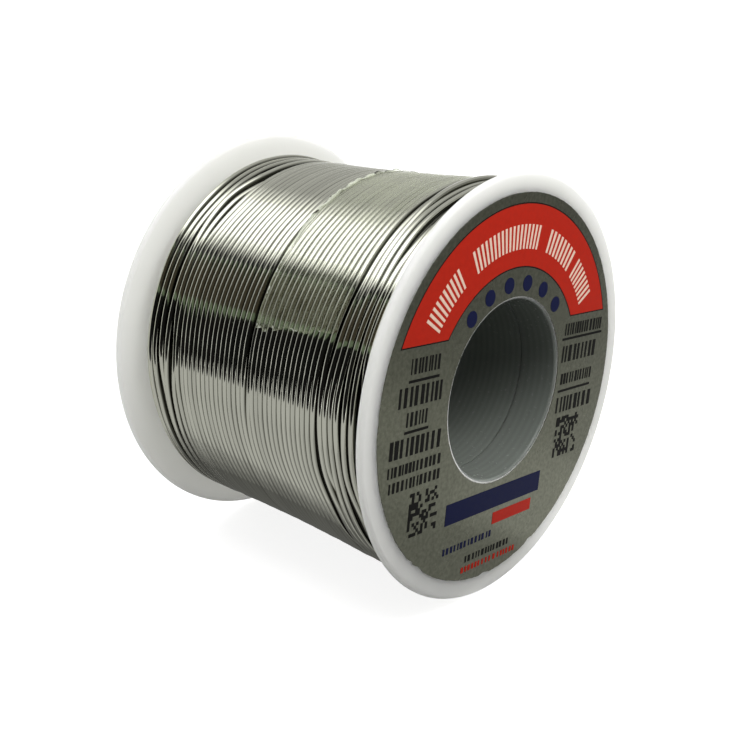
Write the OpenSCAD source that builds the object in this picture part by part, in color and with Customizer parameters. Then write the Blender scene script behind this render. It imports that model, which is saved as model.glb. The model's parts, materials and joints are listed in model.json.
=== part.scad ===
// Spool of solder wire, lying on the rims of its two flanges.
// X is across, Y runs along the bore from the labelled face to the plain one, Z is up.
// The origin is the middle of the bore. Lengths are in millimetres, angles in degrees.

/* [Spool] */
// Width of the spool, from one outer face to the other
spool_w = 40; // [30:0.5:60]
// Diameter of the bore that a spindle passes through
bore_d = 21.6; // [16:0.1:24]
// Radius of the rounded mouth at each end of the bore
mouth_r = 0.4; // [0.1:0.1:0.8]

/* [Flanges] */
// Diameter of both flanges
flange_d = 51; // [50:0.5:60]
// Thickness of a flange
flange_t = 1; // [0.8:0.1:2]
// Radius that rounds both edges of a rim
rim_r = 0.45; // [0.1:0.05:0.9]

/* [Hub] */
// Wall of the core tube, where it is not counterbored
tube_wall = 1.8; // [1.4:0.1:2]
// Length of the collar on each flange
collar_l = 4; // [2:0.5:10]
// Wall of that collar
collar_wall = 0.8; // [0.6:0.1:1]
// Radial clearance of a collar in its counterbore
collar_fit = 0.05; // [0.02:0.01:0.1]
// Depth that a counterbore leaves free past the collar
collar_end_gap = 0.2; // [0.1:0.1:0.5]

/* [Winding] */
// Diameter of the wire, and so the height of the outer layer
wire_d = 0.8; // [0.5:0.1:1.2]
// Diameter over the outer layer beside the labelled flange
wound_d_front = 47.6; // [46:0.1:49]
// Diameter over the outer layer beside the plain flange
wound_d_rear = 45; // [42:0.1:49]
// Loops drawn in the outer layer, each as wide as two turns lying side by side
drawn_loops = 24; // [8:1:24]
// Bare width between two neighbouring loops
loop_gap = 0.45; // [0.42:0.01:0.6]
// Clearance of the winding beside each flange
side_gap = 0.1; // [0.05:0.05:0.3]
// Clearance of the inner layers round the core tube
seat_gap = 0.05; // [0.02:0.01:0.1]
// Direction, seen from the labelled side, in which the outer layer starts
loop_start = 300; // [0:5:360]

/* [Tape] */
// Width of the clear strip that holds the outer turns
tape_w = 12; // [6:0.5:18]
// Thickness of the strip
tape_t = 0.1; // [0.05:0.01:0.2]
// Distance from the labelled face to the near edge of the strip
tape_inset = 7.3; // [3:0.1:16]
// Direction of the strip's torn end, seen from the labelled side
tape_low = 157; // [120:1:200]
// Arc that the strip covers
tape_arc = 130; // [60:5:300]
// Clearance between the strip and the turns
tape_gap = 0.1; // [0.05:0.05:0.3]

/* [Label] */
// Outer diameter of the round label
label_d = 46.3; // [40:0.1:49]
// Diameter of the hole in the label
label_hole_d = 22.6; // [22:0.1:30]
// Thickness of the label
label_t = 0.1; // [0.05:0.05:0.3]

/* [Hidden] */
$fn = 96;
half_w = spool_w / 2;
inner_half = half_w - flange_t;             // middle of the spool to a flange's inner face
wound_half = inner_half - side_gap;         // middle of the spool to the winding's end
bore_r = bore_d / 2;
flange_r = flange_d / 2;
collar_r = bore_r + collar_wall;
tube_r = bore_r + tube_wall;
rim_round = min(rim_r, 0.45 * flange_t);     // leaves a narrow straight band on the rim
mouth_round = min(mouth_r, flange_t, collar_wall);

loop_sides = 6;
loop_rings = 24;                            // rings in one loop of the drawn layer
wound_len = 2 * wound_half;
loop_w = (wound_len - drawn_loops * loop_gap) / (drawn_loops + 1);
loop_pitch = loop_w + loop_gap;
ring_count = drawn_loops * loop_rings;
chord_dip = cos(180 / loop_rings);          // a chord's middle, as a share of its ring's radius

spool_color = [0.90, 0.91, 0.88];
wire_color = [0.64, 0.64, 0.60];
deep_color = [0.42, 0.42, 0.40];
tape_color = [0.80, 0.84, 0.80, 0.4];
label_color = [0.45, 0.45, 0.43];

// Radius over the outer layer at a place z along the spool, z being half_w at the labelled face
function wound_r(z) =
    (wound_d_rear + (wound_d_front - wound_d_rear) * (z + inner_half) / (2 * inner_half)) / 2;

// Radius of the plain body that the outer layer lies on
function core_r(z) = (wound_r(z) - wire_d) * chord_dip - seat_gap;

// The outline of one loop's section: six points, flat inside and outside
function section() =
    [for (k = [0 : loop_sides - 1])
        [loop_w / 2 * cos(60 * k), wire_d / 2 * sin(60 * k) / sin(60)]];

// Where ring i of the drawn layer lies: its direction and its place along the spool
function ring_angle(i) = loop_start + 360 * i / loop_rings;
function ring_z(i) = -wound_half + loop_w / 2 + loop_pitch * i / loop_rings;

// The points of ring i, moved along the wire's own direction by run
function ring_at(i, run = 0) =
    let (a = ring_angle(i), z = ring_z(i), r = wound_r(z) - wire_d / 2,
         rise = run * loop_pitch / (2 * PI * r))
    [for (p = section())
        [(r + p[1]) * cos(a) - run * sin(a), (r + p[1]) * sin(a) + run * cos(a), z + rise + p[0]]];

// All rings, with a straight end one loop's width long at each end
function layer_rings() =
    [for (i = [-1 : ring_count + 1])
        i < 0 ? ring_at(0, -loop_w)
        : i > ring_count ? ring_at(ring_count, loop_w)
        : ring_at(i)];

// Least distance between the points of one loop and those of the next
function least_gap(rings) =
    min([for (i = [1 : len(rings) - loop_rings - 2], p = rings[i], q = rings[i + loop_rings])
        norm(p - q)]);

// Faces of a closed tube through rings of equal size, as triangles
function tube_faces(rings, sides) = concat(
    [for (i = [0 : rings - 2], k = [0 : sides - 1])
        [i * sides + k, (i + 1) * sides + k, i * sides + (k + 1) % sides]],
    [for (i = [0 : rings - 2], k = [0 : sides - 1])
        [i * sides + (k + 1) % sides, (i + 1) * sides + k, (i + 1) * sides + (k + 1) % sides]],
    [for (k = [1 : sides - 2]) [0, k, k + 1]],
    [for (k = [1 : sides - 2])
        [(rings - 1) * sides, (rings - 1) * sides + k + 1, (rings - 1) * sides + k]]);

// Turns what is built round Z with the labelled side up into the spool's lying position
module lying() {
    rotate([90, 0, 0])
        children();
}

// A flange with its collar: rounded rim, rounded mouth, outer face at half_w
module flange() {
    rotate_extrude() {
        translate([bore_r + mouth_round, inner_half])
            square([flange_r - rim_round - bore_r - mouth_round, flange_t]);
        translate([flange_r - rim_round, inner_half + rim_round])
            square([rim_round, flange_t - 2 * rim_round]);
        for (z = [inner_half + rim_round, half_w - rim_round])
            translate([flange_r - rim_round, z])
                circle(rim_round);
        translate([bore_r, inner_half - collar_l])
            square([collar_wall, collar_l + flange_t - mouth_round]);
        translate([bore_r + mouth_round, half_w - mouth_round])
            circle(mouth_round);
    }
}

module front_flange() {
    color(spool_color)
        lying()
            flange();
}

module rear_flange() {
    color(spool_color)
        lying()
            mirror([0, 0, 1])
                flange();
}

// The tube between the flanges, counterbored at both ends for their collars
module core_tube() {
    color(spool_color)
        lying()
            difference() {
                cylinder(h = 2 * inner_half, r = tube_r, center = true);
                cylinder(h = spool_w, r = bore_r, center = true);
                for (side = [-1, 1])
                    translate([0, 0, side * (inner_half - (collar_l + collar_end_gap) / 2)])
                        cylinder(h = collar_l + collar_end_gap + 0.001, r = collar_r + collar_fit,
                                 center = true);
            }
}

// The wire under the outer layer, as one plain body round the core tube
module inner_layers() {
    color(deep_color)
        lying()
            difference() {
                translate([0, 0, -wound_half])
                    cylinder(h = wound_len, r1 = core_r(-wound_half), r2 = core_r(wound_half));
                cylinder(h = spool_w, r = tube_r + seat_gap, center = true);
            }
}

// The outer layer of wire, one unbroken tube from flange to flange
module outer_layer() {
    rings = layer_rings();
    echo(least_gap_mm = least_gap(rings), loops = drawn_loops);
    color(wire_color)
        lying()
            polyhedron(points = [for (ring = rings, p = ring) p],
                       faces = tube_faces(len(rings), loop_sides), convexity = 10);
}

// The clear strip over the outer turns
module closing_tape() {
    near_z = half_w - tape_inset;
    far_z = near_z - tape_w;
    color(tape_color)
        lying()
            rotate([0, 0, tape_low - tape_arc])
                rotate_extrude(angle = tape_arc)
                    polygon([[wound_r(far_z) + tape_gap, far_z],
                             [wound_r(far_z) + tape_gap + tape_t, far_z],
                             [wound_r(near_z) + tape_gap + tape_t, near_z],
                             [wound_r(near_z) + tape_gap, near_z]]);
}

// The round label on the front flange's face
module front_label() {
    color(label_color)
        lying()
            translate([0, 0, half_w])
                difference() {
                    cylinder(h = label_t, d = label_d);
                    translate([0, 0, -label_t])
                        cylinder(h = 3 * label_t, d = label_hole_d);
                }
}

front_flange();
rear_flange();
core_tube();
inner_layers();
outer_layer();
closing_tape();
front_label();
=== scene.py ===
"""Looks of a solder wire spool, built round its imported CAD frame.

Frame: +Y runs along the bore from the labelled face to the plain one, +Z is up, +X is across.
A direction round the spool is an angle in degrees from +X towards +Z, seen from the labelled
side. A place along the spool is its distance from the labelled face.
"""

import bisect
import json
import math
import random

import bpy
from mathutils import Matrix, Vector

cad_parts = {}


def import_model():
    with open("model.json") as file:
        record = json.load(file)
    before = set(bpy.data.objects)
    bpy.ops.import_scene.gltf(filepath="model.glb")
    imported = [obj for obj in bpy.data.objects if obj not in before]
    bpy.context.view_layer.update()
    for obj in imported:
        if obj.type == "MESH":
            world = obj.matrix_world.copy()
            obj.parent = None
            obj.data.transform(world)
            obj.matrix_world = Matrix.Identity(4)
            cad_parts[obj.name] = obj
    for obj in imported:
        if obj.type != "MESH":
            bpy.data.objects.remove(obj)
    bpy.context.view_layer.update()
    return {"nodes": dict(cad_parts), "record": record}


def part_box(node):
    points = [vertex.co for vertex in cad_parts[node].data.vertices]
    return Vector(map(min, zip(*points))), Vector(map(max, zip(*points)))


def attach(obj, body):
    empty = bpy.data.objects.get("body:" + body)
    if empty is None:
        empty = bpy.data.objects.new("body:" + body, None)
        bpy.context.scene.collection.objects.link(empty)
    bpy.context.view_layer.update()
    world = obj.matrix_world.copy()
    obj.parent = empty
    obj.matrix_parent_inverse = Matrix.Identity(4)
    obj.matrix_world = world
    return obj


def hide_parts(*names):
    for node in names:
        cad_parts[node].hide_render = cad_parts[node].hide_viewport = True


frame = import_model()

MM = 0.001

# ---- sizes taken from the frame --------------------------------------------------------------
FLANGE_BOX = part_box("front_flange")
FACE_Y = FLANGE_BOX[0].y                       # outer face of the labelled flange
FLOOR_Z = FLANGE_BOX[0].z
TUBE_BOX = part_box("core_tube")
TUBE_R = TUBE_BOX[1].x
INNER_Y = TUBE_BOX[1].y                        # inner face of the plain flange
LABEL_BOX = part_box("front_label")
LABEL_R = LABEL_BOX[1].x
LABEL_FRONT_Y = LABEL_BOX[0].y
MOUNTS = {mount["name"]: mount for mount in frame["record"]["mounts"]}
BORE_R = MOUNTS["bore"]["dims"]["r_mm"] * MM

# ---- wire and winding; levels and places in mm -----------------------------------------------
WIRE_R = 0.394 * MM
WIRE_SIDES = 16
STEPS_PER_TURN = 180
UV_LENGTH = 4 * MM                             # wire that one unit of its U covers
# Radius over the outer layer: even beside the plain flange, higher towards the labelled one
EVEN_R = 22.8
RISE = 1.05
RISE_START = 31.0
RISE_END = 7.0
RISE_POWER = 1.87
# Directions at which the places below hold; between them the wire runs smoothly
KNOTS = (100, 120, 138, 155, 172, 188, 205)
# Loose turns beside the labelled flange, each with its places at those directions
FRONT_TURNS = (
    (1.45, 1.45, 1.45, 1.45, 1.45, 1.45, 1.45),
    (2.60, 2.55, 2.50, 2.45, 2.05, 1.75, 1.60),
    (2.85, 3.25, 3.30, 3.25, 3.15, 3.05, 2.35),
    (3.90, 4.22, 4.12, 4.20, 4.15, 4.10, 3.12),
    (4.92, 5.10, 5.00, 5.00, 5.30, 4.98, 4.72),
    (5.55, 5.88, 5.82, 5.80, 6.10, 5.85, 5.70),
    (6.15, 6.66, 6.66, 6.60, 6.87, 6.62, 6.05),
    (7.28, 7.45, 7.44, 7.62, 7.64, 7.38, 6.50),
)
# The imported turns: where the first one lies, their pitch, and how they weave at both ends
PACK_FIRST = 8.15
PACK_PITCH = 0.788
PACK_TURNS = 30
PACK_FRONT_WEAVE = (0.05, 0.12, 0.22, 0.44, 0.60, 0.60, -0.15)
PACK_REAR_WEAVE = (-0.10, 0.00, 0.55, 0.40, 0.00, -0.02, 0.25)
# Loose turns beside the plain flange
REAR_TURNS = (
    (31.69, 31.79, 32.34, 32.19, 31.90, 31.85, 32.04),
    (32.30, 33.15, 33.25, 32.98, 32.64, 32.72, 33.05),
    (33.40, 34.36, 34.15, 33.85, 33.79, 33.95, 34.28),
    (35.10, 35.12, 35.33, 35.05, 34.80, 34.66, 34.98),
    (36.33, 36.12, 36.28, 36.05, 36.02, 35.66, 35.78),
    (37.10, 36.98, 37.10, 36.90, 36.86, 36.60, 36.58),
    (37.95, 37.95, 38.05, 37.90, 37.85, 37.80, 37.80),
)
# How far some turns lie above or below the layer, by their place in the run
LEVELS = {
    5: (0.50, -0.10, -0.18, 0.00, 0.00, 0.00, 0.00),
    6: (0.00, -0.30, -0.35, -0.10, 0.00, 0.00, -0.60),
    22: (0.00, -0.12, -0.25, -0.32, -0.28, -0.08, 0.00),
    39: (-0.50, -0.15, 0.00, 0.00, 0.00, 0.00, 0.00),
    43: (0.30, 0.30, 0.20, 0.10, 0.00, 0.00, 0.00),
    44: (-0.70, -0.70, -0.70, -0.70, -0.70, -0.70, -0.70),
}
SIDE_BY_SIDE = 0.96                            # turns this share of their width apart may lie level
FAVOURED_LEVEL = -0.15                         # a turn that has to move up or down stays near this
LEVEL_STRAY = 0.045                            # random change from turn to turn
PLACE_STRAY = 0.03
# The layer under the outer one, which is lower still beside the plain flange
UNDER_SIDES = 8
UNDER_STEPS = 90
UNDER_FIRST = 1.5
UNDER_LAST = 38.5
UNDER_PITCH = 0.81
UNDER_DROP = 0.72
END_DROP = 0.8
END_DROP_START = 37.2
END_DROP_WIDTH = 1.0
# The layers below that, as one ribbed body
DEEP_FIRST = 1.2
DEEP_LAST = 38.8
DEEP_PITCH = 0.8
DEEP_DROP = 2.2
DEEP_SEAT = 0.05                               # clearance round the core tube
RIB_STEPS = 6
LATHE_SEGMENTS = 96

# ---- tape; places and heights in mm ----------------------------------------------------------
TAPE_NEAR = 7.1                                # place of its near edge
TAPE_FAR = 19.3
TAPE_END = 152.6                               # direction of its torn end
TAPE_ARC = 125.0
TAPE_FILM = 0.04
TAPE_LONG_STEPS = 260
TAPE_CROSS_STEPS = 150
TAPE_U = 12.0                                  # U at its near edge: about its width in mm
TAPE_V = 0.4                                   # V of one degree: about its length in mm
CREST_GAP = 0.04                               # height over the crests of the turns
CREST_DIP = 0.05                               # how far it sinks between two of them
EDGE_WAVE = 0.07                               # the far edge swings to both sides by this
EDGE_WAVES = 41                                # waves in one round, as for the bubbles below
# The torn end, in degrees: it slants over the width, and teeth stand out to both sides
TEAR_SLANT = 5.2
TEAR_TEETH = 18
TOOTH_SIZE = 0.91
TOOTH_FLANK = 0.3                              # share of a tooth's width that its flank takes
# Bubbles along the far edge, between two directions
BUBBLE_RISE = 0.30
BUBBLE_PLACE = 18.7
BUBBLE_WIDTH = 0.5
BUBBLES_FROM = 60
BUBBLES_FADE_IN = 30
BUBBLES_TO = 127
BUBBLES_FADE_OUT = 4
BUBBLE_WAVES = (62, 23)                        # of the two sines that shape them
BUBBLE_MEAN = 0.45                             # what their product swings about
# One crease near the torn end, which drifts from its place as it runs
CREASE_RISE = 0.07
CREASE_FROM = 133
CREASE_TO = 156
CREASE_PLACE = 17.0
CREASE_DRIFT = 0.6 / 22                        # mm in each degree
CREASE_HALF_WIDTH = 0.17

# ---- label; its own plane in mm, x to the right and z up -------------------------------------
LABEL_TURN = 7.4                               # it is stuck on turned clockwise by this
LABEL_HOLE_R = 11.2 * MM
LABEL_HOLE_SHIFT = -0.06 * MM                  # its hole is a little off centre
LABEL_SEGMENTS = 480
RIM_RAGGED = 0.05                              # how far its cut edges vary
HOLE_RAGGED = 0.04
# Nicks in its outer edge: direction and half-width in degrees, and depth
LABEL_NICKS = (
    (226, 3.0, 0.30), (221, 1.5, 0.25), (262, 2.5, 0.35), (286, 2.0, 0.30), (172, 1.5, 0.15),
)
NICK_LEAST = 0.6                               # least share of its depth that a nick has
# The film's own face and, in layers of ink, the red border, the red field and the other prints
INK_T = 0.015 * MM
FILM_Y = LABEL_FRONT_Y + 2 * INK_T
BORDER_Y = LABEL_FRONT_Y + 1.6 * INK_T
FIELD_Y = LABEL_FRONT_Y + INK_T
PRINT_BACK_Y = FACE_Y - 0.05 * MM              # backs of the prints, inside the film
# The red field: a part of a ring above a chord, with a thin border round it
RED_CHORD = 7.7
RED_INNER = 14.72
RED_OUTER = 21.82
RED_BORDER = 0.15
RED_STEPS = 60                                 # points along each of its arcs
# Groups of bars on the red field: first and last angle from the label's top, bars
WHITE_GROUPS = ((-59, -38, 10), (-30, 10, 18), (17, 37, 8), (41, 58, 8))
WHITE_INNER = 16.7
WHITE_OUTER = 19.5
# Dots round the hole, at these angles from the label's top
DOT_ANGLES = (-42, -25.2, -8.4, 8.4, 25.2, 42)
DOT_AT = 12.75
DOT_R = 0.95
DOT_SIDES = 24
# Plain blocks: left, right, bottom, top
NAVY_BLOCK = (-9.6, 10.0, -14.6, -12.0)
RED_BLOCK = (0.2, 8.5, -16.8, -15.3)
# Rows of strokes: left, right, height, row height, strokes
NAVY_ROW = (-9.4, 0.2, -17.9, 0.8, 14)
RED_ROW = (-5.3, 5.9, -21.3, 0.7, 16)
DARK_ROWS = (
    (-18.5, -13.6, 5.5, 1.7, 9), (-20.1, -12.8, 2.25, 2.2, 9), (-18.5, -15.0, -0.3, 1.6, 6),
    (-20.9, -12.2, -3.35, 2.1, 10), (-20.9, -11.8, -5.8, 1.2, 14), (-20.5, -11.7, -7.6, 1.2, 13),
    (11.8, 20.5, 5.9, 1.5, 15), (11.8, 19.7, 2.75, 2.1, 9), (12.2, 19.5, -0.5, 1.4, 12),
    (11.9, 20.1, -3.9, 2.0, 9), (-4.7, 4.3, -20.0, 0.8, 14),
)
STROKE_WIDTHS = (0.6, 1.4)                     # least and most, against the mean
# Thin rules: left, right, height
DARK_RULES = ((-18.7, -13.5, 3.9), (-18.7, -14.6, -1.7), (11.4, 20.9, 4.7), (11.9, 19.5, -2.05))
RULE_HALF_HEIGHT = 0.15
# Square patches of random cells: left, bottom, side
DARK_PATCHES = ((-16.6, -14.2, 5.2), (12.5, -10.9, 5.3))
PATCH_CELLS = 13                               # along one side
PATCH_FILLED = 0.52                            # share of the cells that are printed

# ---- the bore's wall, painted in shade by the plastic's material, as that finds it -----------
COLLAR_LIMIT = BORE_R + 0.95 * MM              # between the flanges it reaches past the collars
MOUTH_LIMIT = BORE_R + 0.26 * MM               # and at the mouths to the start of their rounding
LIMIT_CHANGE = 0.4 * MM                        # over this depth of the flange
WALL_RING_PITCH = 0.9 * MM                     # faint rings round the bore

# ---- colours, as linear values ---------------------------------------------------------------
PLASTIC = (0.90, 0.915, 0.77)
# The bore's wall: painted shade, a dull grey where the white plastic lies in shadow
BORE_PAINTED_SHADE = (0.18, 0.197, 0.176)
BRIGHT_WIRE = (0.66, 0.665, 0.57)
# A darker copy of the solder: painted shade for the layers below the outer one
PAINTED_SHADE_WIRE = (0.22, 0.22, 0.19)
# Painted shade: the dark between touching turns, and in the gaps of the film's folded lip
PAINTED_GAP_SHADE = (0.03, 0.03, 0.02)                # between touching turns, and in the film's folds
LABEL_DARK = (0.140, 0.146, 0.104)
LABEL_LIGHT = (0.215, 0.222, 0.165)
FILM_DARK = (0.45, 0.49, 0.32)
FILM_LIGHT = (0.55, 0.59, 0.41)
FILM_FLECK = (0.80, 0.83, 0.74)
# Painted highlight along the film's folded lip
LIP_PAINTED_HIGHLIGHT = (0.66, 0.69, 0.57)
LIP_PAINTED_HALF_HIGHLIGHT = (0.56, 0.59, 0.48)
INKS = {
    "red": (0.49, 0.022, 0.010),
    "white": (0.88, 0.66, 0.53),
    "navy": (0.008, 0.011, 0.050),
    "black": (0.008, 0.008, 0.007),
}

# ---- camera, fitted to the photographed circles ----------------------------------------------
CAMERA_PLACE = Vector((-105.25, -90.37, 49.13)) * MM
CAMERA_AZIMUTH = -49.32
CAMERA_ELEVATION = 20.574
CAMERA_LENS = 55.54
CAMERA_SENSOR = 36.0

# ---- studio levels, as linear greys ----------------------------------------------------------
SOFTBOX_LEVEL = 1.72
SOFTBOX_TINT = (0.97, 0.98, 1.0)
KEY_LEVEL = 6.4
DARK_LEVEL = 0.008                             # black screens, as gloss shows them
LEFT_FILL = 0.57                               # what the left screens give soft surfaces,
FRONT_FILL = 0.10                              # and those in front of the spool
BACK_LEVEL = 0.40                              # the backdrop, as gloss shows it
BACK_FILL = 1.35                               # what it gives soft surfaces
CEILING_LEVEL = 0.52                           # the ceiling, as gloss shows it
CEILING_FILL = 0.85                            # what it gives soft surfaces
BORE_LEVEL = 0.06                              # the screen behind the bore, for both
BROWN = (0.056, 0.048, 0.034)                  # a dim band across the left screens
GREEN = (0.14, 0.18, 0.12)                     # a thin strip along each of its edges
FLOOR_LEVEL = 0.50
FLOOR_LIFT = 0.84                              # what brings the floor to white

# ---- studio places, in metres ----------------------------------------------------------------
FLOOR_HALF = 3.0
SOFTBOX_LEFT = -0.238                          # its other edge is right above the bore
SOFTBOX_Y0 = -0.40
SOFTBOX_Y1 = 0.50
SOFTBOX_Z = 0.45
FADE_STEPS = 6                                 # cards that fade out the softbox's long edges
FADE_RIGHT = 0.017                             # width of one card on the right
FADE_LEFT = 0.011
CEILING_Z = 0.47
KEY_PLACE = (0.012, -0.10, 0.12)
KEY_TURN = (40.0, 0, 6.8)
KEY_SIZE = 0.08
CEILING_RIGHT = 1.2
CEILING_BACK = 1.6
SCREEN_TOP = 0.75
FRONT_Y = -1.2                                 # the screen behind the camera
LEFT_X = -0.40                                 # the upright left screens
LEFT_NEAR_X = -0.145                           # near edge of those that lie on the floor
SPLIT_Y = -0.10                                # where their fill changes
LEFT_END_Y = 0.50
LEFT_NEAR_END_Y = 0.225
BAND_Z = (0.20, 0.50)                          # the brown band, from and to
STRIPS = {"low": (0.175, 0.208), "high": (0.475, 0.505)}
BORE_SCREEN_HALF = 0.0075
# Upright cards across the bore's direction: y, x from and to, level for gloss, fill
ACROSS_CARDS = {
    "screen_front": (FRONT_Y, LEFT_X, 1.0, DARK_LEVEL, FRONT_FILL),
    "screen_back": (1.2, -1.4, -0.05, BACK_LEVEL, BACK_FILL),
}
LIE_Z = FLOOR_Z + 0.5 * MM                     # cards on the floor
NEAR_LIE_Z = LIE_Z - 0.1 * MM                  # the wide floor_near, which runs under some
# Cards on the floor: x from and to, y from and to, level for gloss, fill
FLOOR_CARDS = {
    "floor_near": (LEFT_X, 0.12, -0.12, 0.60, 0.58, 0.62),
    "screen_front_low": (0.0, 0.09, FRONT_Y, -0.09, DARK_LEVEL, FRONT_FILL),
    "screen_front_far": (0.09, 1.0, FRONT_Y, -0.09, 0.13, FRONT_FILL),
    "screen_front_mid": (0.045, 1.0, -0.09, -0.05, 0.33, FRONT_FILL),
    # Painted shade of the floor under the spool, darker towards its middle, as the wire mirrors it
    "floor_shade_under_0": (-0.032, -0.029, -0.018, 0.06, 0.42, 0.25),
    "floor_shade_under_1": (-0.029, -0.026, -0.018, 0.06, 0.32, 0.25),
    "floor_shade_under_2": (-0.026, -0.023, -0.018, 0.06, 0.22, 0.25),
    "floor_shade_under_3": (-0.023, 0.0, -0.018, 0.06, 0.13, 0.25),
    "floor_front": (-0.07, 0.008, -0.07, -0.0205, 0.42, 0.04),
    "floor_right": (0.011, 0.036, -0.040, -0.0205, 0.80, 1.2),
}


# ---- small helpers ---------------------------------------------------------------------------
def along(azimuth, elevation):
    """Unit vector from the object to a camera at that azimuth and elevation, in degrees."""
    a, e = math.radians(azimuth), math.radians(elevation)
    return Vector((math.sin(a) * math.cos(e), -math.cos(a) * math.cos(e), math.sin(e)))


def mesh_object(name, verts, faces, smooth=True):
    mesh = bpy.data.meshes.new(name)
    mesh.from_pydata([tuple(v) for v in verts], [], faces)
    mesh.polygons.foreach_set("use_smooth", [smooth] * len(mesh.polygons))
    mesh.update()
    obj = bpy.data.objects.new(name, mesh)
    bpy.context.scene.collection.objects.link(obj)
    return obj


def set_uvs(obj, uvs):
    """Gives a mesh its UVs, one pair for each corner of each face."""
    layer = obj.data.uv_layers.new(name="UVMap")
    layer.data.foreach_set("uv", [x for uv in uvs for x in uv])


def ring_faces(segments, count):
    """Faces of a closed body of rings of count points, the last ring joined to the first."""
    faces = []
    for i in range(segments):
        j = (i + 1) % segments
        for k in range(count):
            m = (k + 1) % count
            faces.append((i * count + k, j * count + k, j * count + m, i * count + m))
    return faces


def dress(obj, material):
    """Gives a new piece its material, and lets it ride on the spool."""
    obj.data.materials.append(material)
    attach(obj, "root")
    return obj


def smooth_step(t):
    t = min(1.0, max(0.0, t))
    return t * t * (3 - 2 * t)


def wave(angle, waves):
    """A sine with that many waves in one round, at an angle in degrees."""
    return math.sin(math.radians(angle * waves))


# ---- node helpers ----------------------------------------------------------------------------
def new_material(name):
    material = bpy.data.materials.new(name)
    material.use_nodes = True
    tree = material.node_tree
    shader = tree.nodes["Principled BSDF"]
    return material, tree, shader


def feed(tree, socket, source):
    """Links a node's output to an input, or sets the input to a number, vector or colour."""
    if isinstance(source, bpy.types.NodeSocket):
        tree.links.new(source, socket)
    elif socket.type == "RGBA":
        socket.default_value = (*source, 1.0)
    else:
        socket.default_value = source


def add_node(tree, kind, **settings):
    """A new node; each setting is one of its inputs or else one of its properties."""
    node = tree.nodes.new(kind)
    for key, value in settings.items():
        if key in node.inputs:
            feed(tree, node.inputs[key], value)
        else:
            setattr(node, key, value)
    return node


def set_shader(tree, shader, settings):
    for key, value in settings.items():
        feed(tree, shader.inputs[key], value)


def noise(tree, vector, scale, detail=2.0):
    node = add_node(tree, "ShaderNodeTexNoise", Vector=vector, Scale=scale, Detail=detail)
    return node.outputs["Fac"]


def ramp(tree, value, stops):
    """A colour ramp through (position, colour) stops."""
    node = add_node(tree, "ShaderNodeValToRGB", Fac=value)
    elements = node.color_ramp.elements
    while len(elements) < len(stops):
        elements.new(0.5)
    for element, (place, color) in zip(elements, stops):
        element.position = place
        element.color = (*color, 1.0)
    return node.outputs["Color"]


def map_range(tree, value, span, result=(0.0, 1.0)):
    """Maps a value from one span, as (start, end), to another, and holds it at their ends."""
    node = add_node(tree, "ShaderNodeMapRange", Value=value)
    for key, number in zip(("From Min", "From Max", "To Min", "To Max"), (*span, *result)):
        node.inputs[key].default_value = number
    return node.outputs["Result"]


def math_node(tree, operation, *values):
    node = add_node(tree, "ShaderNodeMath", operation=operation)
    for socket, value in zip(node.inputs, values):
        feed(tree, socket, value)
    return node.outputs[0]


def mix(tree, factor, first, second):
    """Goes from the first colour to the second as the factor rises."""
    node = add_node(tree, "ShaderNodeMixRGB", Fac=factor, Color1=first, Color2=second)
    return node.outputs["Color"]


def bump(tree, shader, height, strength, distance):
    node = add_node(tree, "ShaderNodeBump", Height=height, Strength=strength, Distance=distance)
    feed(tree, shader.inputs["Normal"], node.outputs["Normal"])


def coordinates(tree, kind):
    return tree.nodes.new("ShaderNodeTexCoord").outputs[kind]


def separate(tree, vector):
    return add_node(tree, "ShaderNodeSeparateXYZ", Vector=vector).outputs


def scaled(tree, vector, factors):
    return add_node(tree, "ShaderNodeMapping", Vector=vector, Scale=factors).outputs["Vector"]


def darker(color, factor):
    return [c * factor for c in color]


# ---- materials -------------------------------------------------------------------------------
def solder_material(name, color, dull):
    """Drawn tin-lead wire: near mirror smooth, with faint draw lines, and painted shade where turns
    touch.
    """
    material, tree, shader = new_material(name)
    where, uv = coordinates(tree, "Object"), coordinates(tree, "UV")
    lines = noise(tree, scaled(tree, uv, (0.15, 6.0, 1.0)), 3.0, detail=3.0)
    blotch = noise(tree, where, 350.0, detail=3.0)
    turn_tone = noise(tree, scaled(tree, where, (0.03, 1.0, 0.03)), 900.0, detail=1.0)
    tone = ramp(tree, turn_tone, [(0.32, darker(color, 0.88)), (0.62, color)])
    round_wire = math_node(tree, "MULTIPLY", separate(tree, uv)["Y"], 2 * math.pi)
    sideways = math_node(tree, "ABSOLUTE", math_node(tree, "SINE", round_wire))
    # painted shade on the sides of each turn, where it meets its neighbours
    flank = map_range(tree, sideways, (0.68, 0.98), (0.0, 0.85))
    set_shader(tree, shader, {
        "Base Color": mix(tree, flank, tone, PAINTED_GAP_SHADE),
        "Roughness": map_range(tree, blotch, (0.35, 0.75), (dull, dull + 0.04)),
        "Metallic": 1.0,
    })
    bump(tree, shader, lines, strength=0.05, distance=0.01 * MM)
    return material


def on_bore_wall(tree, where, depth):
    """1 on the wall of the bore, where shade is painted, and 0 elsewhere, by the distance from the
    bore's axis.
    """
    across = add_node(tree, "ShaderNodeVectorMath", operation="MULTIPLY")
    feed(tree, across.inputs[0], where)
    feed(tree, across.inputs[1], (1, 0, 1))
    radius = add_node(tree, "ShaderNodeVectorMath", operation="LENGTH")
    feed(tree, radius.inputs[0], across.outputs[0])
    limit = map_range(tree, depth, (INNER_Y, INNER_Y + LIMIT_CHANGE),
                      (COLLAR_LIMIT, MOUTH_LIMIT))
    return math_node(tree, "LESS_THAN", radius.outputs["Value"], limit)


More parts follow.
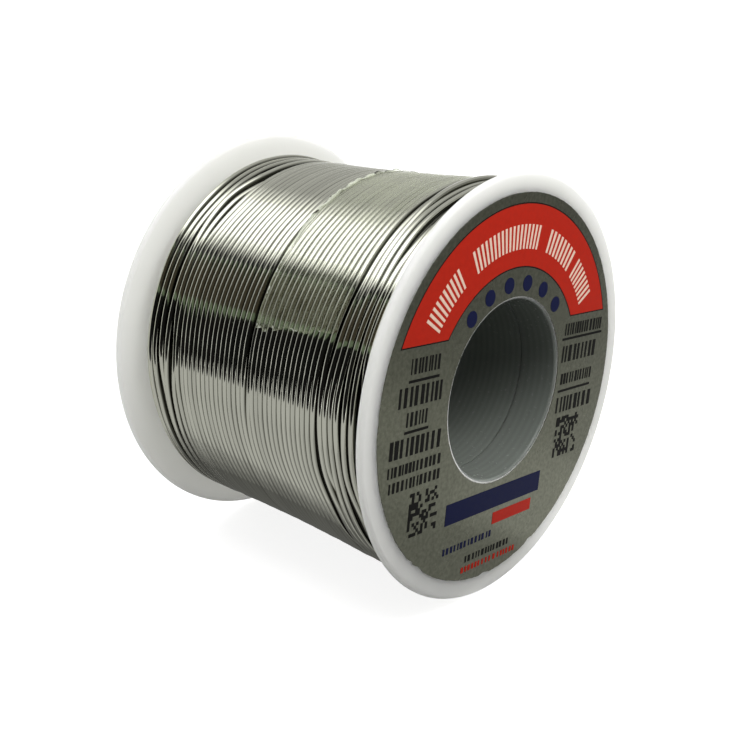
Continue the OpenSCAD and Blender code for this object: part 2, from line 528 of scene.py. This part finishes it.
def wall_rings(tree, depth):
    """The painted shade of the bore's wall, a dull grey, with faint rings round it."""
    phase = math_node(tree, "MULTIPLY", depth, 2 * math.pi / WALL_RING_PITCH)
    swing = map_range(tree, math_node(tree, "SINE", phase), (-1.0, 1.0))
    return ramp(tree, swing, [(0.0, darker(BORE_PAINTED_SHADE, 0.95)), (1.0, darker(BORE_PAINTED_SHADE, 1.05))])


def plastic_material():
    """Natural white moulded plastic, a little translucent; the wall of the bore is painted dull
    grey for its shade.
    """
    material, tree, shader = new_material("spool_plastic")
    where = coordinates(tree, "Object")
    grain = noise(tree, where, 2500.0)
    tone = ramp(tree, noise(tree, where, 90.0), [(0.3, darker(PLASTIC, 0.97)), (0.7, PLASTIC)])
    depth = math_node(tree, "ABSOLUTE", separate(tree, where)["Y"])
    # where the bore's wall takes its painted shade
    inside = on_bore_wall(tree, where, depth)
    dull = map_range(tree, grain, (0.3, 0.7), (0.36, 0.48))
    set_shader(tree, shader, {
        "Base Color": mix(tree, inside, tone, wall_rings(tree, depth)),
        "Roughness": math_node(tree, "MULTIPLY_ADD", inside, -0.20, dull),
        "Subsurface Weight": map_range(tree, inside, (0.0, 1.0), (1.0, 0.4)),
        "Subsurface Radius": (1.0, 1.0, 0.95),
        "Subsurface Scale": 6.0 * MM,
    })
    bump(tree, shader, grain, strength=0.05, distance=0.05 * MM)
    return material


def label_material():
    """Silver-grey label film with a fine mottle."""
    material, tree, shader = new_material("label_film")
    where = coordinates(tree, "Object")
    mottle = noise(tree, where, 2200.0, detail=3.0)
    cloud = noise(tree, where, 160.0)
    set_shader(tree, shader, {
        "Base Color": ramp(tree, mottle, [(0.3, LABEL_DARK), (0.7, LABEL_LIGHT)]),
        "Roughness": map_range(tree, cloud, (0.3, 0.7), (0.25, 0.32)),
        "Metallic": 0.85,
    })
    bump(tree, shader, mottle, strength=0.08, distance=0.02 * MM)
    return material


def ink_material(name):
    """Matt printed ink with the slight mottle of the film under it."""
    color = INKS[name]
    material, tree, shader = new_material("ink_" + name)
    mottle = noise(tree, coordinates(tree, "Object"), 1800.0)
    set_shader(tree, shader, {
        "Base Color": ramp(tree, mottle, [(0.3, darker(color, 0.9)), (0.7, color)]),
        "Roughness": map_range(tree, mottle, (0.3, 0.7), (0.4, 0.5)),
        "Specular IOR Level": 0.05,
    })
    return material


def tape_material():
    """Clear adhesive film: a grey-green haze, denser and flecked along its far and torn edges.

    Its U is the distance from the far edge and its V that from the torn end, both in about
    mm. Well away from that end the far edge is a folded lip with a painted highlight, broken by
    painted shade in its gaps.
    """
    material, tree, shader = new_material("clear_tape")
    where, uv = coordinates(tree, "Object"), separate(tree, coordinates(tree, "UV"))
    haze = noise(tree, where, 420.0, detail=3.0)
    specks = map_range(tree, noise(tree, where, 1900.0, detail=1.0), (0.58, 0.66))
    nearest = math_node(tree, "MINIMUM", uv["X"], uv["Y"])
    edge = map_range(tree, nearest, (0.35, 0.05))
    fleck = math_node(tree, "MULTIPLY", edge, specks)
    at_far_edge = map_range(tree, uv["X"], (0.50, 0.20))
    past_end = map_range(tree, uv["Y"], (10.0, 11.5))
    lip = math_node(tree, "MULTIPLY", at_far_edge, past_end)
    film = ramp(tree, haze, [(0.3, FILM_DARK), (0.7, FILM_LIGHT)])
    # painted highlight along the folded lip, broken by painted shade in its gaps
    lip_highlight_and_shade = ramp(tree, noise(tree, where, 700.0),
                 [(0.42, LIP_PAINTED_HIGHLIGHT), (0.54, LIP_PAINTED_HALF_HIGHLIGHT), (0.58, PAINTED_GAP_SHADE)])
    slant = add_node(tree, "ShaderNodeLayerWeight", Blend=0.5).outputs["Facing"]
    alpha = math_node(tree, "ADD", map_range(tree, haze, (0.3, 0.75), (0.02, 0.08)),
                      map_range(tree, slant, (0.42, 0.66), (0.0, 0.05)))
    for mask, density in ((lip, 0.45), (edge, 0.10), (fleck, 0.30)):
        alpha = math_node(tree, "MULTIPLY_ADD", mask, density, alpha)
    set_shader(tree, shader, {
        "Base Color": mix(tree, lip, mix(tree, fleck, film, FILM_FLECK), lip_highlight_and_shade),
        "Alpha": alpha,
        "Roughness": map_range(tree, haze, (0.3, 0.7), (0.18, 0.32)),
        "Specular IOR Level": 0.2,
    })
    bump(tree, shader, haze, strength=0.15, distance=0.03 * MM)
    return material


# ---- winding ---------------------------------------------------------------------------------
def wound_radius(place):
    """Radius over the outer layer at a place in mm, in metres."""
    share = max(0.0, (RISE_START - max(place, RISE_END)) / (RISE_START - RISE_END))
    return (EVEN_R + RISE * share ** RISE_POWER) * MM


def between(first, last, share):
    return [a + (b - a) * share for a, b in zip(first, last)]


def turn_knots():
    """Every turn's places at the knots, from the labelled flange to the plain one."""
    packed = []
    for k in range(PACK_TURNS):
        weave = between(PACK_FRONT_WEAVE, PACK_REAR_WEAVE, k / (PACK_TURNS - 1))
        packed.append([PACK_FIRST + PACK_PITCH * k + shift for shift in weave])
    return list(FRONT_TURNS) + packed + list(REAR_TURNS)


def smooth_curve(points):
    """A function through (t, value) points that never swings past them."""
    slopes = [(b[1] - a[1]) / (b[0] - a[0]) for a, b in zip(points, points[1:])]
    tangents = [0.0]
    for before, after in zip(slopes, slopes[1:]):
        tangents.append(2 * before * after / (before + after) if before * after > 0 else 0.0)
    tangents.append(0.0)

    def value(t):
        if t <= points[0][0]:
            return points[0][1]
        if t >= points[-1][0]:
            return points[-1][1]
        i = bisect.bisect_right(points, (t, math.inf)) - 1
        (t0, v0), (t1, v1) = points[i], points[i + 1]
        span = t1 - t0
        x = (t - t0) / span
        return ((1 + 2 * x) * (1 - x) ** 2 * v0 + x * x * (3 - 2 * x) * v1
                + span * x * (1 - x) * ((1 - x) * tangents[i] - x * tangents[i + 1]))
    return value


def settled(level, place, last_level, last_place):
    """A turn's level, moved up or down where it would cut into the turn before it, in mm."""
    width = 2 * WIRE_R / MM
    apart = place - last_place
    if apart > SIDE_BY_SIDE * width:
        return level
    step = math.sqrt(width ** 2 - apart ** 2)
    if abs(level - last_level) >= step:
        return level
    return min((last_level - step, last_level + step),
               key=lambda other: abs(other - FAVOURED_LEVEL))


def run_curves():
    """The wire's place and level, in mm, as functions of the angle counted through all turns."""
    turns = turn_knots()
    lifts = [list(LEVELS.get(k, (0.0,) * len(KNOTS))) for k in range(len(turns))]
    for k in range(1, len(turns)):
        for j in range(len(KNOTS)):
            lifts[k][j] = settled(lifts[k][j], turns[k][j], lifts[k - 1][j], turns[k - 1][j])
    places, levels = [], []
    for k, turn in enumerate(turns):
        for angle, place, lift in zip(KNOTS, turn, lifts[k]):
            places.append((360.0 * k + angle, place))
            levels.append((360.0 * k + angle, lift))
    return smooth_curve(places), smooth_curve(levels)


def sweep(name, centres, sides, lengths):
    """A closed tube of wire through (angle, radius from the axis, y) centres.

    Its U is taken from the lengths, one for each centre, and its V goes once round the wire.
    """
    verts, faces, uvs = [], [], []
    for angle, r, y in centres:
        out = Vector((math.cos(angle), 0, math.sin(angle)))
        for k in range(sides):
            turn = 2 * math.pi * k / sides
            verts.append(out * (r + WIRE_R * math.cos(turn))
                         + Vector((0, y + WIRE_R * math.sin(turn), 0)))
    for i in range(len(centres) - 1):
        for k in range(sides):
            a, b = i * sides + k, i * sides + (k + 1) % sides
            faces.append((a, a + sides, b + sides, b))
            uvs += [(lengths[i], k / sides), (lengths[i + 1], k / sides),
                    (lengths[i + 1], (k + 1) / sides), (lengths[i], (k + 1) / sides)]
    last = (len(centres) - 1) * sides
    faces.append(tuple(range(sides)))
    faces.append(tuple(last + k for k in reversed(range(sides))))
    uvs += [(0, 0)] * sides + [(lengths[-1], 0)] * sides
    obj = mesh_object(name, verts, faces)
    set_uvs(obj, uvs)
    return obj


def wind(name, turns, steps, sides, centre_at):
    """Wire wound round the bore; centre_at(turn) gives its place and its depth in mm."""
    centres, lengths, run = [], [], 0.0
    for i in range(int(turns * steps) + 1):
        turn = i / steps
        place, depth = centre_at(turn)
        r = wound_radius(place) - WIRE_R - depth * MM
        centres.append((2 * math.pi * turn, r, FACE_Y + place * MM))
        lengths.append(run / UV_LENGTH)
        run += 2 * math.pi * r / steps
    return sweep(name, centres, sides, lengths)


def outer_wire(material):
    """The outer layer of wire, one unbroken run from the labelled flange to the plain one."""
    place_at, level_at = run_curves()
    turns = len(FRONT_TURNS) + PACK_TURNS + len(REAR_TURNS)
    stray = random.Random(3)
    rise = [stray.uniform(-LEVEL_STRAY, LEVEL_STRAY) for _ in range(turns + 2)]
    sway = [stray.uniform(-PLACE_STRAY, PLACE_STRAY) for _ in range(turns + 2)]

    def centre_at(turn):
        k, share = int(turn), smooth_step(turn % 1)
        place = place_at(360.0 * turn) + sway[k] + (sway[k + 1] - sway[k]) * share
        level = level_at(360.0 * turn) + rise[k] + (rise[k + 1] - rise[k]) * share
        return place, -level

    obj = wind("wire_outer_layer", turns, STEPS_PER_TURN, WIRE_SIDES, centre_at)
    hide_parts("outer_layer")
    return dress(obj, material)


def under_wire(material):
    """The layer under the outer one, which shows in the gaps between loose turns."""
    def centre_at(turn):
        place = UNDER_FIRST + UNDER_PITCH * turn
        return place, UNDER_DROP + END_DROP * smooth_step((place - END_DROP_START) / END_DROP_WIDTH)

    turns = (UNDER_LAST - UNDER_FIRST) / UNDER_PITCH
    obj = wind("wire_under_layer", turns, UNDER_STEPS, UNDER_SIDES, centre_at)
    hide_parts("inner_layers")
    return dress(obj, material)


def lathe(name, outline, segments):
    """A closed body of revolution round the bore's axis from (radius, y) points."""
    verts = []
    for i in range(segments):
        a = 2 * math.pi * i / segments
        verts += [(r * math.cos(a), y, r * math.sin(a)) for r, y in outline]
    return mesh_object(name, verts, ring_faces(segments, len(outline)))


def wound_core(material):
    """The deeper layers as one body on the core tube, ribbed like turns of wire."""
    outline = []
    count = int((DEEP_LAST - DEEP_FIRST) / DEEP_PITCH)
    for k in range(count):
        for s in range(RIB_STEPS):
            place = DEEP_FIRST + DEEP_PITCH * (k + s / RIB_STEPS)
            rib = math.sqrt(max(0.0, 1 - (2 * s / RIB_STEPS - 1) ** 2)) * WIRE_R
            outline.append((wound_radius(place) - DEEP_DROP * MM + rib, FACE_Y + place * MM))
    seat_r = TUBE_R + DEEP_SEAT * MM
    outline.append((seat_r, FACE_Y + (DEEP_FIRST + DEEP_PITCH * count) * MM))
    outline.append((seat_r, FACE_Y + DEEP_FIRST * MM))
    obj = lathe("wire_deep_layers", outline, LATHE_SEGMENTS)
    return dress(obj, material)


# ---- tape ------------------------------------------------------------------------------------
def bubble_lift(angle, place):
    """Height of the bubbles along the strip's far edge, in mm."""
    window = (smooth_step((angle - BUBBLES_FROM) / BUBBLES_FADE_IN)
              * smooth_step((BUBBLES_TO - angle) / BUBBLES_FADE_OUT))
    swing = (1 - BUBBLE_MEAN) * wave(angle, BUBBLE_WAVES[0]) * wave(angle, BUBBLE_WAVES[1])
    at_edge = smooth_step((place - BUBBLE_PLACE) / BUBBLE_WIDTH)
    return BUBBLE_RISE * at_edge * window * max(0.0, BUBBLE_MEAN + swing)


def crease_lift(angle, place):
    """Height of the strip's one crease, in mm."""
    if not CREASE_FROM < angle < CREASE_TO:
        return 0.0
    middle = CREASE_PLACE + CREASE_DRIFT * (angle - CREASE_FROM)
    return CREASE_RISE * max(0.0, 1 - abs(place - middle) / CREASE_HALF_WIDTH)


def torn_edge():
    """How far the torn end reaches on, in degrees, as a function of the share of the width."""
    tear = random.Random(21)
    teeth = [tear.uniform(-TOOTH_SIZE, TOOTH_SIZE) for _ in range(TEAR_TEETH)]

    def reach(share):
        tooth, part = divmod(share * (TEAR_TEETH - 2), 1.0)
        a, b = teeth[int(tooth)], teeth[int(tooth) + 1]
        flank = smooth_step(0.5 + (part - 0.5) / TOOTH_FLANK)
        return TEAR_SLANT * share + a + (b - a) * flank
    return reach


def film_surface():
    """The strip's inner radius, in metres, as a function of the direction and the place in mm."""
    front_weave = smooth_curve(list(zip(KNOTS, PACK_FRONT_WEAVE)))
    rear_weave = smooth_curve(list(zip(KNOTS, PACK_REAR_WEAVE)))

    def radius(angle, place):
        share = (place - PACK_FIRST) / (PACK_PITCH * (PACK_TURNS - 1))
        weave = front_weave(angle) * (1 - share) + rear_weave(angle) * share
        phase = (place - PACK_FIRST - weave) / PACK_PITCH
        dip = CREST_DIP * (1 - abs(math.cos(math.pi * phase)))
        lift = bubble_lift(angle, place) + crease_lift(angle, place)
        return wound_radius(place) + (CREST_GAP - dip + lift) * MM
    return radius


def sheet_faces(long_steps, cross_steps):
    """Faces of a closed sheet of two equal grids of points, the inner one first."""
    row = cross_steps + 1
    sheet = (long_steps + 1) * row
    faces = []
    for i in range(long_steps):
        for j in range(cross_steps):
            a = i * row + j
            faces.append((a, a + 1, a + row + 1, a + row))
            faces.append((sheet + a, sheet + a + row, sheet + a + row + 1, sheet + a + 1))
    border = ([j for j in range(cross_steps)]
              + [i * row + cross_steps for i in range(long_steps)]
              + [long_steps * row + j for j in range(cross_steps, 0, -1)]
              + [i * row for i in range(long_steps, 0, -1)])
    for a, b in zip(border, border[1:] + border[:1]):
        faces.append((b, a, sheet + a, sheet + b))
    return faces


def tape(material):
    """The clear strip over the turns: it follows their crests and ends in a torn, toothed edge."""
    start = TAPE_END - TAPE_ARC
    reach, radius = torn_edge(), film_surface()
    verts, uv_of = [], []
    for layer in (0, 1):
        for i in range(TAPE_LONG_STEPS + 1):
            for j in range(TAPE_CROSS_STEPS + 1):
                share = j / TAPE_CROSS_STEPS
                end = TAPE_END + reach(share)
                angle = start + (end - start) * i / TAPE_LONG_STEPS
                far = TAPE_FAR + EDGE_WAVE * wave(angle, EDGE_WAVES)
                place = TAPE_NEAR + (far - TAPE_NEAR) * share
                r = radius(angle, place) + layer * TAPE_FILM * MM
                a = math.radians(angle)
                verts.append((r * math.cos(a), FACE_Y + place * MM, r * math.sin(a)))
                uv_of.append(((1 - share) * TAPE_U, (end - angle) * TAPE_V))
    faces = sheet_faces(TAPE_LONG_STEPS, TAPE_CROSS_STEPS)
    obj = mesh_object("tape_strip", verts, faces)
    set_uvs(obj, [uv_of[v] for face in faces for v in face])
    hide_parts("closing_tape")
    return dress(obj, material)


# ---- label -----------------------------------------------------------------------------------
def on_label(x, z, y):
    """A point of the label's own plane, as it is stuck on the flange, in metres."""
    t = math.radians(LABEL_TURN)
    return Vector(((x * math.cos(t) + z * math.sin(t)) * MM, y,
                   (z * math.cos(t) - x * math.sin(t)) * MM))


def plates(name, outlines, material, front=LABEL_FRONT_Y):
    """Thin printed plates on the label's face from outlines in the label's plane."""
    verts, faces = [], []
    for outline in outlines:
        base, count = len(verts), len(outline)
        verts += [on_label(x, z, front) for x, z in outline]
        verts += [on_label(x, z, PRINT_BACK_Y) for x, z in outline]
        faces.append(tuple(base + k for k in range(count)))
        faces.append(tuple(base + count + k for k in reversed(range(count))))
        for k in range(count):
            m = (k + 1) % count
            faces.append((base + m, base + k, base + count + k, base + count + m))
    obj = mesh_object(name, verts, faces, smooth=False)
    return dress(obj, material)


def box_outline(x0, x1, z0, z1):
    return [(x0, z0), (x1, z0), (x1, z1), (x0, z1)]


def polar(r, angle):
    """A point at a radius and an angle clockwise from the label's top, in degrees."""
    a = math.radians(angle)
    return r * math.sin(a), r * math.cos(a)


def arc(r, first, last, steps):
    return [polar(r, first + (last - first) * k / steps) for k in range(steps + 1)]


def dot(angle):
    """Outline of a round dot at an angle from the label's top."""
    x, z = polar(DOT_AT, angle)
    turns = [2 * math.pi * k / DOT_SIDES for k in range(DOT_SIDES)]
    return [(x + DOT_R * math.cos(t), z + DOT_R * math.sin(t)) for t in turns]


def red_area(grow=0.0):
    """Outline of the red field, or of its thin border when it is grown."""
    chord, r_in, r_out = RED_CHORD - grow, RED_INNER - grow, RED_OUTER + grow
    a_out = math.degrees(math.acos(chord / r_out))
    a_in = math.degrees(math.acos(chord / r_in))
    return arc(r_out, -a_out, a_out, RED_STEPS) + arc(r_in, a_in, -a_in, RED_STEPS)


def bar_group(first, last, count):
    """Bars from the first to the last angle, each as wide as the gap beside it."""
    step = (last - first) / (count - 0.5)
    bars = []
    for k in range(count):
        a0, a1 = first + step * k, first + step * (k + 0.5)
        bars.append(arc(WHITE_INNER, a1, a0, 2) + arc(WHITE_OUTER, a0, a1, 2))
    return bars


def stroke_row(x0, x1, z, height, count):
    """Upright strokes of uneven widths that fill a row from x0 to x1, centred on height z."""
    pick = random.Random(int(abs(z) * 100) + count)
    shares = [pick.uniform(*STROKE_WIDTHS) for _ in range(2 * count - 1)]
    scale = (x1 - x0) / sum(shares)
    strokes, x = [], x0
    for k, share in enumerate(shares):
        if k % 2 == 0:
            strokes.append(box_outline(x, x + share * scale, z - height / 2, z + height / 2))
        x += share * scale
    return strokes


def speckle(x0, z0, side):
    """A square patch of small cells, about half of them filled at random."""
    pick = random.Random(int(abs(z0) * 100) + PATCH_CELLS)
    cell = side / PATCH_CELLS
    filled = [(i, j) for i in range(PATCH_CELLS) for j in range(PATCH_CELLS)
              if pick.random() < PATCH_FILLED]
    return [box_outline(x0 + cell * i, x0 + cell * (i + 1), z0 + cell * j, z0 + cell * (j + 1))
            for i, j in filled]


def nick_depth(angle):
    """How far the label's cut edge is torn back at a direction in degrees, in mm."""
    depth = 0.0
    for middle, half_width, deep in LABEL_NICKS:
        away = abs((angle - middle + 180) % 360 - 180) / half_width
        depth = max(depth, deep * max(0.0, 1 - away))
    return depth


def label(material):
    """The label itself, a thin ring with slightly ragged cut edges."""
    rough = random.Random(11)
    verts = []
    for i in range(LABEL_SEGMENTS):
        angle = 360 * i / LABEL_SEGMENTS
        a = math.radians(angle)
        c, s = math.cos(a), math.sin(a)
        ragged = rough.uniform(0.0, RIM_RAGGED)
        nick = nick_depth(angle) * rough.uniform(NICK_LEAST, 1)
        rim = LABEL_R - (ragged + nick) * MM
        hole = LABEL_HOLE_R + rough.uniform(0.0, HOLE_RAGGED) * MM
        hole_x, hole_z = hole * c + LABEL_HOLE_SHIFT, hole * s
        verts += [(hole_x, FILM_Y, hole_z), (rim * c, FILM_Y, rim * s),
                  (rim * c, FACE_Y, rim * s), (hole_x, FACE_Y, hole_z)]
    obj = mesh_object("label_ring", verts, ring_faces(LABEL_SEGMENTS, 4), smooth=False)
    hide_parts("front_label")
    return dress(obj, material)


def prints():
    """Generic strokes, bars, dots and rules in the places and colours of a spool label's print."""
    inks = {name: ink_material(name) for name in INKS}
    plates("print_red_border", [red_area(RED_BORDER)], inks["black"], BORDER_Y)
    plates("print_red_field", [red_area()], inks["red"], FIELD_Y)
    white = []
    for group in WHITE_GROUPS:
        white += bar_group(*group)
    plates("print_white_bars", white, inks["white"])
    navy = [dot(angle) for angle in DOT_ANGLES]
    navy += [box_outline(*NAVY_BLOCK)] + stroke_row(*NAVY_ROW)
    plates("print_navy_marks", navy, inks["navy"])
    dark = []
    for row in DARK_ROWS:
        dark += stroke_row(*row)
    for x0, x1, z in DARK_RULES:
        dark.append(box_outline(x0, x1, z - RULE_HALF_HEIGHT, z + RULE_HALF_HEIGHT))
    for patch in DARK_PATCHES:
        dark += speckle(*patch)
    plates("print_dark_marks", dark, inks["black"])
    red = [box_outline(*RED_BLOCK)] + stroke_row(*RED_ROW)
    plates("print_red_marks", red, inks["red"])


# ---- studio ----------------------------------------------------------------------------------
def camera():
    data = bpy.data.cameras.new("camera")
    data.lens = CAMERA_LENS
    data.sensor_width = CAMERA_SENSOR
    data.clip_start, data.clip_end = 0.005, 20.0
    obj = bpy.data.objects.new("camera", data)
    back = along(CAMERA_AZIMUTH, CAMERA_ELEVATION)
    right = Vector((0, 0, 1)).cross(back).normalized()
    up = back.cross(right)
    turn = Matrix((right, up, back)).transposed().to_4x4()
    obj.matrix_world = Matrix.Translation(CAMERA_PLACE) @ turn
    bpy.context.scene.collection.objects.link(obj)
    bpy.context.scene.camera = obj


def world():
    """Even white surroundings; the screens stand in front of part of them."""
    made = bpy.data.worlds.new("studio")
    bpy.context.scene.world = made
    made.use_nodes = True
    sky = made.node_tree.nodes["Background"]
    sky.inputs["Color"].default_value = (1, 1, 1, 1)
    sky.inputs["Strength"].default_value = 1.0


def area_light(name, place, turn, size, level, tint=(1, 1, 1)):
    """A soft rectangular light of that radiance; the turn is in degrees about X, Y and Z."""
    data = bpy.data.lights.new(name, "AREA")
    data.shape = "RECTANGLE"
    data.size, data.size_y = size
    data.energy = level * math.pi * size[0] * size[1]
    data.color = tint
    obj = bpy.data.objects.new(name, data)
    obj.location = place
    obj.rotation_euler = [math.radians(t) for t in turn]
    obj.visible_camera = False
    bpy.context.scene.collection.objects.link(obj)
    return obj


def lights():
    """A long soft light overhead, in line with the bore, and a near one at the front."""
    middle = (SOFTBOX_LEFT / 2, (SOFTBOX_Y0 + SOFTBOX_Y1) / 2, SOFTBOX_Z)
    area_light("softbox", middle, (0, 0, 0), (-SOFTBOX_LEFT, SOFTBOX_Y1 - SOFTBOX_Y0),
               SOFTBOX_LEVEL, SOFTBOX_TINT)
    key = area_light("key", KEY_PLACE, KEY_TURN, (KEY_SIZE, KEY_SIZE), KEY_LEVEL)
    key.visible_glossy = False


def upright(x, y0, y1, z0, z1):
    return [(x, y0, z0), (x, y1, z0), (x, y1, z1), (x, y0, z1)]


def across_bore(y, x0, x1, z0, z1):
    return [(x0, y, z0), (x1, y, z0), (x1, y, z1), (x0, y, z1)]


def lying(x0, x1, y0, y1, z):
    return [(x0, y0, z), (x1, y0, z), (x1, y1, z), (x0, y1, z)]


def grey(level):
    return (level,) * 3


def floor():
    """A plain pale floor. The camera, gloss and glass see it lifted to white; shadows stay."""
    corners = lying(-FLOOR_HALF, FLOOR_HALF, -FLOOR_HALF, FLOOR_HALF, FLOOR_Z)
    obj = mesh_object("floor", corners, [(0, 1, 2, 3)], smooth=False)
    material, tree, shader = new_material("floor_paper")
    grain = noise(tree, coordinates(tree, "Object"), 300.0)
    rays = tree.nodes.new("ShaderNodeLightPath").outputs
    seen = math_node(tree, "MAXIMUM", rays["Is Camera Ray"], rays["Is Glossy Ray"])
    seen = math_node(tree, "MAXIMUM", seen, rays["Is Transmission Ray"])
    set_shader(tree, shader, {
        "Base Color": ramp(tree, grain, [(0.3, grey(FLOOR_LEVEL - 0.01)),
                                         (0.7, grey(FLOOR_LEVEL + 0.01))]),
        "Roughness": 0.9,
        "Specular IOR Level": 0.0,
        "Emission Color": grey(1.0),
        "Emission Strength": map_range(tree, seen, (0.0, 1.0), (0.0, FLOOR_LIFT)),
    })
    obj.data.materials.append(material)


def card(name, corners, color, fill, one_sided=False):
    """A flat screen that the camera doesn't see: gloss sees its colour, soft surfaces a grey.

    A one-sided card is clear from behind, so that a floor under it stays lit.
    """
    obj = mesh_object(name, corners, [(0, 1, 2, 3)], smooth=False)
    material = bpy.data.materials.new(name)
    material.use_nodes = True
    tree = material.node_tree
    tree.nodes.clear()
    rays = tree.nodes.new("ShaderNodeLightPath").outputs
    shown = mix(tree, rays["Is Glossy Ray"], grey(fill), color)
    surface = add_node(tree, "ShaderNodeEmission", Color=shown).outputs[0]
    if one_sided:
        sides = tree.nodes.new("ShaderNodeMixShader")
        behind = tree.nodes.new("ShaderNodeNewGeometry").outputs["Backfacing"]
        clear = tree.nodes.new("ShaderNodeBsdfTransparent").outputs[0]
        for socket, source in zip(sides.inputs, (behind, surface, clear)):
            feed(tree, socket, source)
        surface = sides.outputs[0]
    add_node(tree, "ShaderNodeOutputMaterial", Surface=surface)
    material.cycles.emission_sampling = "NONE"
    obj.data.materials.append(material)
    obj.visible_camera = False


def left_screens():
    """Black screens to the left, upright and on the floor, with a dim band and two strips."""
    black = grey(DARK_LEVEL)
    band_x = LEFT_X + 2 * MM
    strip_x = band_x + 2 * MM
    for part, y0, y1, near_y1, fill in (
            ("front", FRONT_Y, SPLIT_Y, SPLIT_Y, FRONT_FILL),
            ("back", SPLIT_Y, LEFT_END_Y, LEFT_NEAR_END_Y, LEFT_FILL)):
        card("screen_left_low_" + part,
             [(LEFT_X, y0, LIE_Z), (LEFT_NEAR_X, y0, LIE_Z),
              (LEFT_NEAR_X, near_y1, LIE_Z), (LEFT_X, y1, LIE_Z)], black, fill, True)
        card("screen_left_" + part, upright(LEFT_X, y0, y1, FLOOR_Z, SCREEN_TOP), black, fill)
        card("shelf_left_" + part, upright(band_x, y0, y1, *BAND_Z), BROWN, fill)
        for edge, heights in STRIPS.items():
            card("strip_%s_%s" % (edge, part), upright(strip_x, y0, y1, *heights), GREEN, fill)


def softbox_fades():
    """Cards that fade the softbox out to both sides: to the ceiling's grey and to black."""
    for k in range(FADE_STEPS):
        share = (k + 0.5) / FADE_STEPS
        level = SOFTBOX_LEVEL + (CEILING_LEVEL - SOFTBOX_LEVEL) * share
        card("softbox_right_%d" % k,
             lying(FADE_RIGHT * k, FADE_RIGHT * (k + 1), SOFTBOX_Y0, SOFTBOX_Y1, SOFTBOX_Z),
             grey(level), level)
        level, right = SOFTBOX_LEVEL * (1 - share), SOFTBOX_LEFT - FADE_LEFT * k
        card("softbox_left_%d" % k,
             lying(right - FADE_LEFT, right, SOFTBOX_Y0, SOFTBOX_Y1, SOFTBOX_Z),
             grey(level), level)


def cards():
    """What the wire mirrors: dark screens, a grey ceiling and backdrop, and greys of floor, with
    painted floor shade under the spool.
    """
    left_screens()
    softbox_fades()
    for name, (y, x0, x1, level, fill) in ACROSS_CARDS.items():
        card(name, across_bore(y, x0, x1, FLOOR_Z, SCREEN_TOP), grey(level), fill)
    card("ceiling", lying(SOFTBOX_LEFT, CEILING_RIGHT, FRONT_Y, CEILING_BACK, CEILING_Z),
         grey(CEILING_LEVEL), CEILING_FILL)
    for name, (x0, x1, y0, y1, level, fill) in FLOOR_CARDS.items():
        z = NEAR_LIE_Z if name == "floor_near" else LIE_Z
        card(name, lying(x0, x1, y0, y1, z), grey(level), fill, True)
    half = BORE_SCREEN_HALF
    card("screen_bore", across_bore(INNER_Y, -half, half, -half, half), grey(BORE_LEVEL),
         BORE_LEVEL, True)


# ---- the scene -------------------------------------------------------------------------------
def plastic_nodes():
    """The plastic parts keep their CAD mesh and get a material."""
    plastic = plastic_material()
    for name in ("front_flange", "rear_flange", "core_tube"):
        node = frame["nodes"][name]
        node.data.materials.clear()
        node.data.materials.append(plastic)


def main():
    bpy.context.scene.view_settings.view_transform = "Standard"
    camera()
    world()
    lights()
    floor()
    cards()
    plastic_nodes()
    outer_wire(solder_material("solder_bright", BRIGHT_WIRE, 0.05))
    # the layers below get a darker copy of the solder, painted shade in the gaps between loose
    # turns
    deep = solder_material("solder_painted_shade", PAINTED_SHADE_WIRE, 0.15)
    under_wire(deep)
    wound_core(deep)
    tape(tape_material())
    label(label_material())
    prints()


main()
